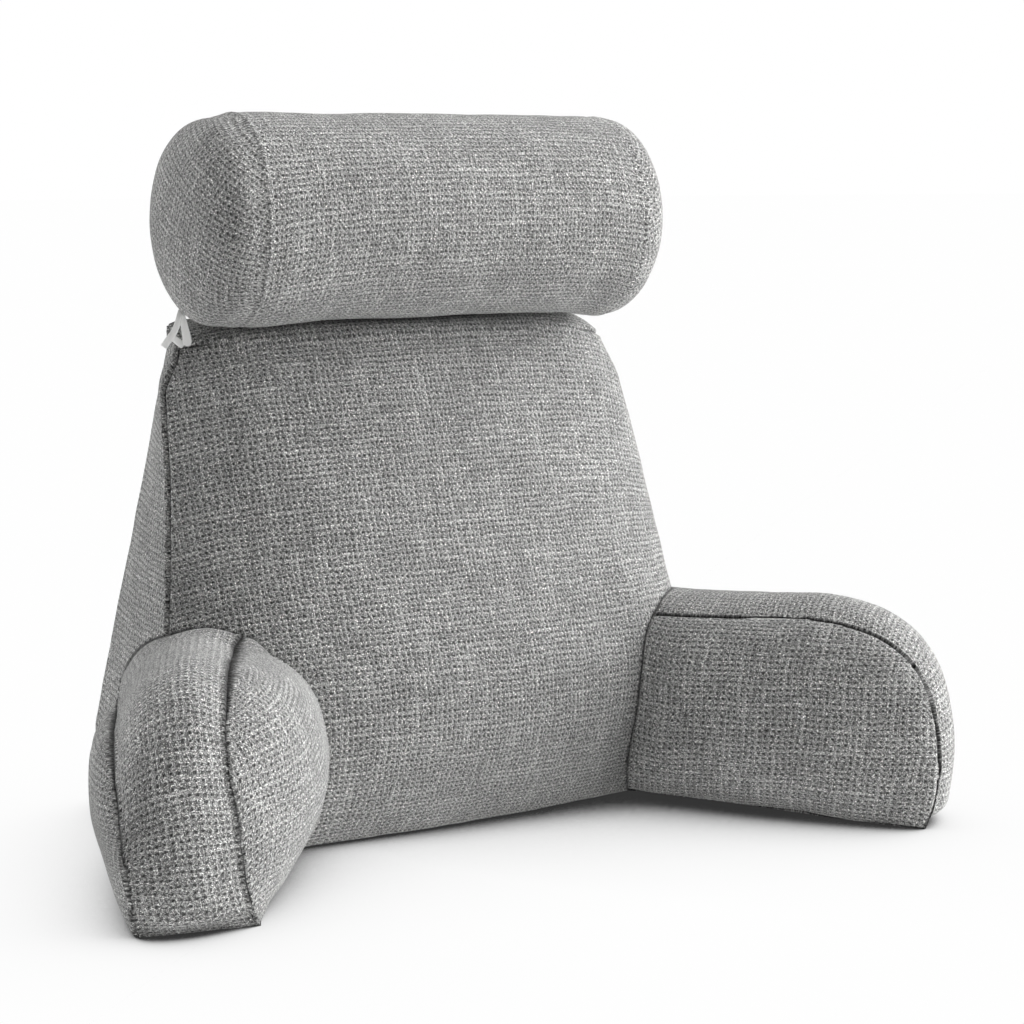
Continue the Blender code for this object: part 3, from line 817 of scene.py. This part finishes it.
def point_tree(points):
    tree = KDTree(len(points))
    for index, point in enumerate(points):
        tree.insert(point, index)
    tree.balance()
    return tree


def beside(co, points, margin):
    """Which of co lie in the box of points, or up to a margin outside it."""
    inside = (co > points.min(0) - margin) & (co < points.max(0) + margin)
    return np.nonzero(inside.all(1))[0]


def dense(line, depth, step=0.0006):
    """The line sampled every step, with the depth there and the distance along it."""
    along = arc(line)
    at = np.linspace(0.0, along[-1], max(2, int(along[-1] / step)))
    points = np.stack([np.interp(at, along, line[:, axis]) for axis in range(3)], axis=-1)
    return points, np.interp(at, along, depth), at


def sew(mesh, seams):
    """Draws the cloth in along the seams, and stores painted shade in their grooves, strongest at the
    seam.
    """
    co = points_of(mesh)
    crevice_shade, draw, lift = (np.zeros(len(co)) for _ in range(3))
    for line, depth, reach, lip in seams:
        points, depths, at = dense(line, depth)
        tree = point_tree(points)
        margin = reach * 2.0
        for index in beside(co, points, margin):
            _, spot, distance = tree.find(co[index])
            if distance > margin or depths[spot] <= 0.0:
                continue
            chance = noise.noise(Vector((at[spot] * STITCH_RATE, 3.1, depths[0] * 1e3)))
            stitch = STITCH_PULL[0] + STITCH_PULL[1] * chance
            share = max(0.0, 1.0 - distance / reach)
            draw[index] = max(draw[index], depths[spot] * stitch * share ** 2)
            off_lip = (distance / reach - LIP_PLACE[0]) / LIP_PLACE[1]
            lift[index] = max(lift[index], lip * stitch * math.exp(-off_lip ** 2))
            # painted shade in the seam's groove
            dark = max(0.0, 1.0 - distance / (reach * CREASE_SHADE_SHARE))
            dark *= min(1.0, depths[spot] / CREASE_SHADE_FULL)
            crevice_shade[index] = max(crevice_shade[index], dark)
    away = lift * (crevice_shade == 0) - draw
    set_points(mesh, co + vectors(mesh, "normal") * away[:, None])
    attribute = mesh.attributes.new("crevice_shade", "FLOAT", "POINT")
    attribute.data.foreach_set("value", crevice_shade.astype(np.float32))


def shade_contact(first, second, reach):
    """Stores painted shade in the crevice between two touching pieces, on both."""
    for mesh, other in ((first, second), (second, first)):
        co, tree = points_of(mesh), face_tree(other)
        crevice_shade, stored = np.empty(len(co), np.float32), mesh.attributes["crevice_shade"].data
        stored.foreach_get("value", crevice_shade)
        for index in beside(co, points_of(other), reach):
            distance = tree.find_nearest(co[index], reach)[3]
            if distance is not None:
                crevice_shade[index] = max(crevice_shade[index], 1.0 - distance / reach)
        stored.foreach_set("value", crevice_shade)


def relax(mesh, line, reach, strength, rounds=30):
    """Rounds the cloth off along a line of points, by the strength given for each point."""
    co = points_of(mesh)
    points, strengths, _ = dense(line, strength)
    tree = point_tree(points)
    weight = np.zeros(len(co))
    for index in beside(co, points, reach):
        _, spot, distance = tree.find(co[index])
        weight[index] = strengths[spot] * smooth(1.5 - 1.5 * distance / reach)
    edges = np.empty(len(mesh.edges) * 2, np.int32)
    mesh.edges.foreach_get("vertices", edges)
    edges = edges.reshape(-1, 2)
    degree = np.bincount(edges.reshape(-1), minlength=len(co))[:, None]
    for _ in range(rounds):
        total = np.zeros_like(co)
        np.add.at(total, edges[:, 0], co[edges[:, 1]])
        np.add.at(total, edges[:, 1], co[edges[:, 0]])
        co += (total / degree - co) * (0.7 * weight)[:, None]
    set_points(mesh, co)


def fit_end(mesh, rest, heading, start=0.3):
    """Moves what lies beyond the tree of faces back along heading, to just short of it."""
    co = points_of(mesh)
    heading = Vector(heading).normalized()
    for index, point in enumerate(co):
        hit, _, _, distance = rest.ray_cast(Vector(point) - heading * start, heading)
        if hit is not None and distance < start + CLEAR:
            co[index] = hit - heading * CLEAR
    set_points(mesh, co)


def undulate(mesh, seed):
    """Adds the low, uneven lumps of the filling."""
    co = points_of(mesh)
    shifts = (Vector((seed, 0, 0)), Vector((0, seed, 0)))
    away = np.zeros(len(co))
    for (rate, share), shift in zip(LUMPS, shifts):
        away += [noise.noise(Vector(point) * rate + shift) * share for point in co]
    set_points(mesh, co + vectors(mesh, "normal") * (away * LUMP_HEIGHT)[:, None])


def add_object(name, data):
    obj = bpy.data.objects.new(name, data)
    bpy.context.scene.collection.objects.link(obj)
    return obj


def add_piece(mesh, node, material):
    mesh.materials.append(material)
    mesh.polygons.foreach_set("use_smooth", [True] * len(mesh.polygons))
    obj = add_object(mesh.name, mesh)
    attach(obj, "root")
    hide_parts(node)
    return obj


# ---- materials


class Graph:
    """Short names for the shader nodes that the cloths are made of."""

    def __init__(self, name):
        self.material = bpy.data.materials.new(name)
        self.material.use_nodes = True
        self.tree = self.material.node_tree
        self.shader = self.tree.nodes["Principled BSDF"]

    def put(self, value, socket):
        if hasattr(value, "links"):
            self.tree.links.new(value, socket)
        else:
            socket.default_value = value

    def new(self, kind, **settings):
        node = self.tree.nodes.new("ShaderNode" + kind)
        for key, value in settings.items():
            setattr(node, key, value)
        return node

    def fill(self, node, inputs):
        for key, value in inputs.items():
            self.put(value, node.inputs[key.replace("_", " ")])

    def surface(self, **inputs):
        self.fill(self.shader, inputs)
        return self.material

    def node(self, kind, output=0, settings=(), **inputs):
        node = self.new(kind, **dict(settings))
        self.fill(node, inputs)
        return node.outputs[output]

    def weave(self):
        return self.node("UVMap", settings={"uv_map": "weave"})

    def split(self, vector):
        node = self.new("SeparateXYZ")
        self.put(vector, node.inputs[0])
        return node.outputs[0], node.outputs[1]

    def join(self, x, y, z=0.0):
        return self.node("CombineXYZ", X=x, Y=y, Z=z)

    def math(self, operation, *values):
        node = self.new("Math", operation=operation)
        for value, socket in zip(values, node.inputs):
            self.put(value, socket)
        return node.outputs[0]

    plus = partialmethod(math, "ADD")
    minus = partialmethod(math, "SUBTRACT")
    times = partialmethod(math, "MULTIPLY")
    scaled = partialmethod(math, "MULTIPLY_ADD")
    size = partialmethod(math, "ABSOLUTE")

    def wave(self, a, rate):
        return self.math("SINE", self.times(a, rate))

    def from_middle(self, a):
        """The way from the middle of each cell: -0.5 to 0.5."""
        return self.minus(self.math("FRACT", a), 0.5)

    def vector(self, operation, a, b, place):
        node = self.new("VectorMath", operation=operation)
        self.put(a, node.inputs[0])
        self.put(b, node.inputs[place])
        return node.outputs[0]

    def moved(self, a, b):
        return self.vector("ADD", a, b, 1)

    def grown(self, a, scale):
        return self.vector("SCALE", a, scale, "Scale")

    def noise(self, place, scale, detail=2.0, roughness=0.5, output=0):
        return self.node("TexNoise", output, {"noise_dimensions": "2D"},
                         Vector=place, Scale=scale, Detail=detail, Roughness=roughness)

    def wander(self, place, scale, detail, amount):
        away = self.moved(self.noise(place, scale, detail, output=1), (-0.5, -0.5, 0.0))
        return self.grown(away, amount)

    def ease(self, value, low, high, start=0.0, end=1.0):
        node = self.new("MapRange", interpolation_type="SMOOTHSTEP")
        for number, socket in zip((value, low, high, start, end), node.inputs):
            self.put(number, socket)
        return node.outputs[0]

    def mix(self, share, a, b):
        """a where share is 0, b where it is 1."""
        return self.scaled(share, self.minus(b, a), a)


def tweed_material():
    """Open weave of thin fuzzy yarns in mixed greys, with curly fibres, and painted shade in the pits
    between and in seams.
    """
    g = Graph("grey_tweed_cloth")
    cells = g.grown(g.weave(), 1.0 / WEAVE_PITCH)
    bend, shake = (g.wander(cells, *wander) for wander in YARN_WANDERS)
    place = g.moved(cells, g.moved(bend, shake))
    x, y = g.split(place)
    loose = g.split(g.moved(place, g.wander(cells, *FIBRE_CURL)))

    # Yarns: rounded ridges, each over the other in every second cell
    lean = g.times(g.wave(y, 2.0 * math.pi), YARN_LEAN)
    over = g.times(g.wave(x, math.pi), g.wave(y, math.pi))
    heights = []
    for along, sign, half in zip((g.plus(x, lean), y), (1.0, -1.0), YARN_HALVES):
        side = g.math("DIVIDE", g.from_middle(along), half)
        yarn = g.math("MAXIMUM", g.minus(1.0, g.times(side, side)), 0.0)
        heights.append(g.times(yarn, g.scaled(over, sign * 0.3, 0.7)))
    height = g.math("MAXIMUM", *heights)
    warp_on_top = g.ease(g.minus(*heights), -0.15, 0.15)

    # Fibres: strands along the yarns, light hooks round the pits, fuzz and light specks
    strands = []
    for rates in ((5.0, 1.7), (1.7, 5.0)):
        run = g.join(*(g.times(value, rate) for value, rate in zip(loose, rates)))
        strands.append(g.noise(run, 1.0, 1.0, 0.6))
    strand = g.ease(g.mix(warp_on_top, strands[1], strands[0]), 0.44, 0.66)
    from_pit = [g.from_middle(g.plus(value, 0.5)) for value in loose]
    hook = g.math("SQRT", g.plus(*(g.times(away, away) for away in from_pit)))
    hook = g.ease(g.size(g.minus(hook, HOOK_RING[0])), 0.0, HOOK_RING[1], 1.0, 0.0)
    one_side = g.minus(g.noise(cells, 1.6, 1.0), g.times(from_pit[0], 0.4))
    hook = g.times(hook, g.ease(one_side, 0.46, 0.6))
    # painted shade in the furrows between rows of crosswise yarns
    row_furrow_shade = g.ease(g.size(g.from_middle(y)), 0.26, 0.48)
    fuzz = g.noise(cells, 5.5, 1.0, 0.6)
    speck = g.ease(g.noise(g.moved(cells, (31.7, 12.3, 0.0)), 3.2, 0.0), 0.7, 0.8)
    pit = g.noise(g.moved(cells, (7.1, 55.9, 0.0)), 1.1, 1.0)
    # depth drives the painted shade in the pits and down the yarns' sides
    depth = g.plus(height, g.scaled(pit, 0.9, -0.45))

    # Slubs: single yarns that run thicker and lighter for a few cells
    column, row = g.math("FLOOR", x), g.math("FLOOR", y)
    warp_slub = g.noise(g.join(g.times(column, 3.71), g.times(y, 0.1)), 1.0, 1.0)
    weft_slub = g.noise(g.join(g.times(x, 0.1), g.times(row, 3.71)), 1.0, 1.0)
    slub = g.ease(g.mix(warp_on_top, weft_slub, warp_slub), 0.42, 0.74)
    cloud = g.noise(cells, 0.07, 2.0)
    # painted shade stored along seams and crevices
    crevice_shade = g.node("Attribute", "Fac", {"attribute_name": "crevice_shade"})

    shade = g.scaled(strand, STRAND_LIGHT, 0.5)
    for light, amount in ((hook, HOOK_LIGHT), (speck, SPECK_LIGHT), (slub, SLUB_LIGHT)):
        shade = g.plus(shade, g.times(light, amount))
    for factor in (
        g.math("MAXIMUM", g.scaled(fuzz, 3.8, -0.9), 0.12),
        g.ease(depth, -0.15, 0.55, PIT_SHADE, 1.0),
        g.scaled(row_furrow_shade, -FURROW_SHADE, 1.0),
        g.scaled(cloud, 0.3, 0.85),
        g.ease(crevice_shade, 0.0, 0.9, 1.0, CREASE_SHADE),
    ):
        shade = g.times(shade, factor)
    relief = g.plus(g.times(depth, 0.7), g.times(g.plus(strand, hook), 0.35))
    bump = g.node("Bump", Strength=1.0, Distance=WEAVE_DEPTH, Height=relief)
    return g.surface(Base_Color=g.grown(TWEED_COLOUR, shade), Normal=bump,
                     Roughness=0.95, Specular_IOR_Level=0.12, Sheen_Weight=0.22,
                     Sheen_Roughness=0.5)


def tape_material():
    """White cotton tape with a fine herringbone weave."""
    g = Graph("white_tape_cloth")
    x, y = g.split(g.grown(g.weave(), 1000.0))
    slant = g.plus(y, g.times(g.size(x), 0.9))
    rib, yarn = (g.scaled(g.wave(a, rate), 0.5, 0.5) for a, rate in ((slant, 9.0), (x, 14.0)))
    grain = g.noise(g.join(g.times(x, 2.0), g.times(y, 2.0)), 1.0, 3.0, 0.6)
    height = g.plus(g.times(rib, yarn), g.times(grain, 0.4))
    colour = g.grown(TAPE_COLOUR, g.scaled(height, 0.1, 0.9))
    bump = g.node("Bump", Strength=0.6, Distance=0.0001, Height=height)
    return g.surface(Base_Color=colour, Normal=bump, Roughness=0.85, Specular_IOR_Level=0.2,
                     Sheen_Weight=0.8)


def floor_material():
    """White floor that the camera sees as a glow with a painted shadow round the pillow."""
    g = Graph("white_floor_painted_shadow")
    # the painted shadow: occlusion gathered from a tilted direction, turned into how dark the floor
    # looks
    clear = g.node("AmbientOcclusion", 1, {"samples": 24},
                   Distance=FLOOR_SHADE_REACH, Normal=g.join(*FLOOR_SHADE_FROM))
    shade = g.math("EXPONENT", g.scaled(clear, -FLOOR_CLEARING, FLOOR_SHADE))
    # the floor glows faintly, lighting the pillow from below
    g.surface(Base_Color=FLOOR_COLOUR, Roughness=1.0, Specular_IOR_Level=0.0,
              Emission_Color=(1.0, 1.0, 1.0, 1.0), Emission_Strength=FLOOR_GLOW)
    # the camera sees only this glow, darkened by the painted shadow
    light = g.minus(1.0, g.math("MINIMUM", shade, FLOOR_DARKEST))
    white = g.node("Emission", Strength=light)
    seen = g.node("LightPath", "Is Camera Ray")
    both = g.new("MixShader")
    for value, socket in zip((seen, g.shader.outputs[0], white), both.inputs):
        g.put(value, socket)
    g.put(both.outputs[0], g.tree.nodes["Material Output"].inputs["Surface"])
    return g.material


# ---- light, floor and camera


def add_lamp(name, turn, rise, power):
    turn, rise = math.radians(turn), math.radians(rise)
    light = bpy.data.lights.new(name, "AREA")
    light.energy = power
    light.shape = "SQUARE"
    light.size = LAMP_SIZE
    lamp = add_object(name, light)
    flat = math.cos(rise)
    toward = Vector((math.sin(turn) * flat, -math.cos(turn) * flat, math.sin(rise)))
    lamp.location = Vector(LAMP_AIM) + toward * LAMP_DISTANCE
    lamp.rotation_euler = toward.to_track_quat("Z", "Y").to_euler()


def add_stage():
    scene = bpy.context.scene
    scene.view_settings.view_transform = "Standard"
    world = bpy.data.worlds.new("studio")
    world.use_nodes = True
    nodes = world.node_tree.nodes
    background = nodes["Background"]
    background.inputs["Color"].default_value = (1.0, 1.0, 1.0, 1.0)
    seen = nodes.new("ShaderNodeLightPath").outputs["Is Camera Ray"]
    world.node_tree.links.new(seen, background.inputs["Strength"])
    scene.world = world
    mesh = bpy.data.meshes.new("floor")
    corners = ((-1, -1), (1, -1), (1, 1), (-1, 1))
    mesh.from_pydata([(x * FLOOR_SIZE, y * FLOOR_SIZE, 0) for x, y in corners], [], [(0, 1, 2, 3)])
    mesh.materials.append(floor_material())
    add_object("floor", mesh)
    for lamp in LAMPS:
        add_lamp(*lamp)
    camera = bpy.data.cameras.new("camera")
    camera.lens = CAMERA_LENS
    view = add_object("camera", camera)
    view.location = CAMERA_PLACE
    view.rotation_euler = CAMERA_TURN
    scene.camera = view


def main():
    add_stage()
    white = tape_material()
    for side in ("left", "right"):
        build_tie(side, white)
    tweed = tweed_material()
    backrest = build_backrest()
    weld(backrest)
    set_points(backrest.mesh, keep_under_roll(points_of(backrest.mesh)))
    rest = face_tree(backrest.mesh)
    cloths = [build_arm("left"), build_arm("right"), build_roll()]
    for cloth in cloths:
        weld(cloth)
        if cloth.heading is not None:
            fit_end(cloth.mesh, rest, cloth.heading)
    for cloth in [backrest] + cloths:
        undulate(cloth.mesh, seed=len(cloth.node))
        sew(cloth.mesh, cloth.seams)
        co = points_of(cloth.mesh)
        co[:, 1] -= BASE_MIDDLE
        co[:, 2] = np.maximum(co[:, 2], 0.0)
        set_points(cloth.mesh, co)
    for cloth in cloths:
        shade_contact(backrest.mesh, cloth.mesh, CONTACT_SHADE_REACH[cloth.node])
    for cloth in [backrest] + cloths:
        piece = add_piece(cloth.mesh, cloth.node, tweed)


main()
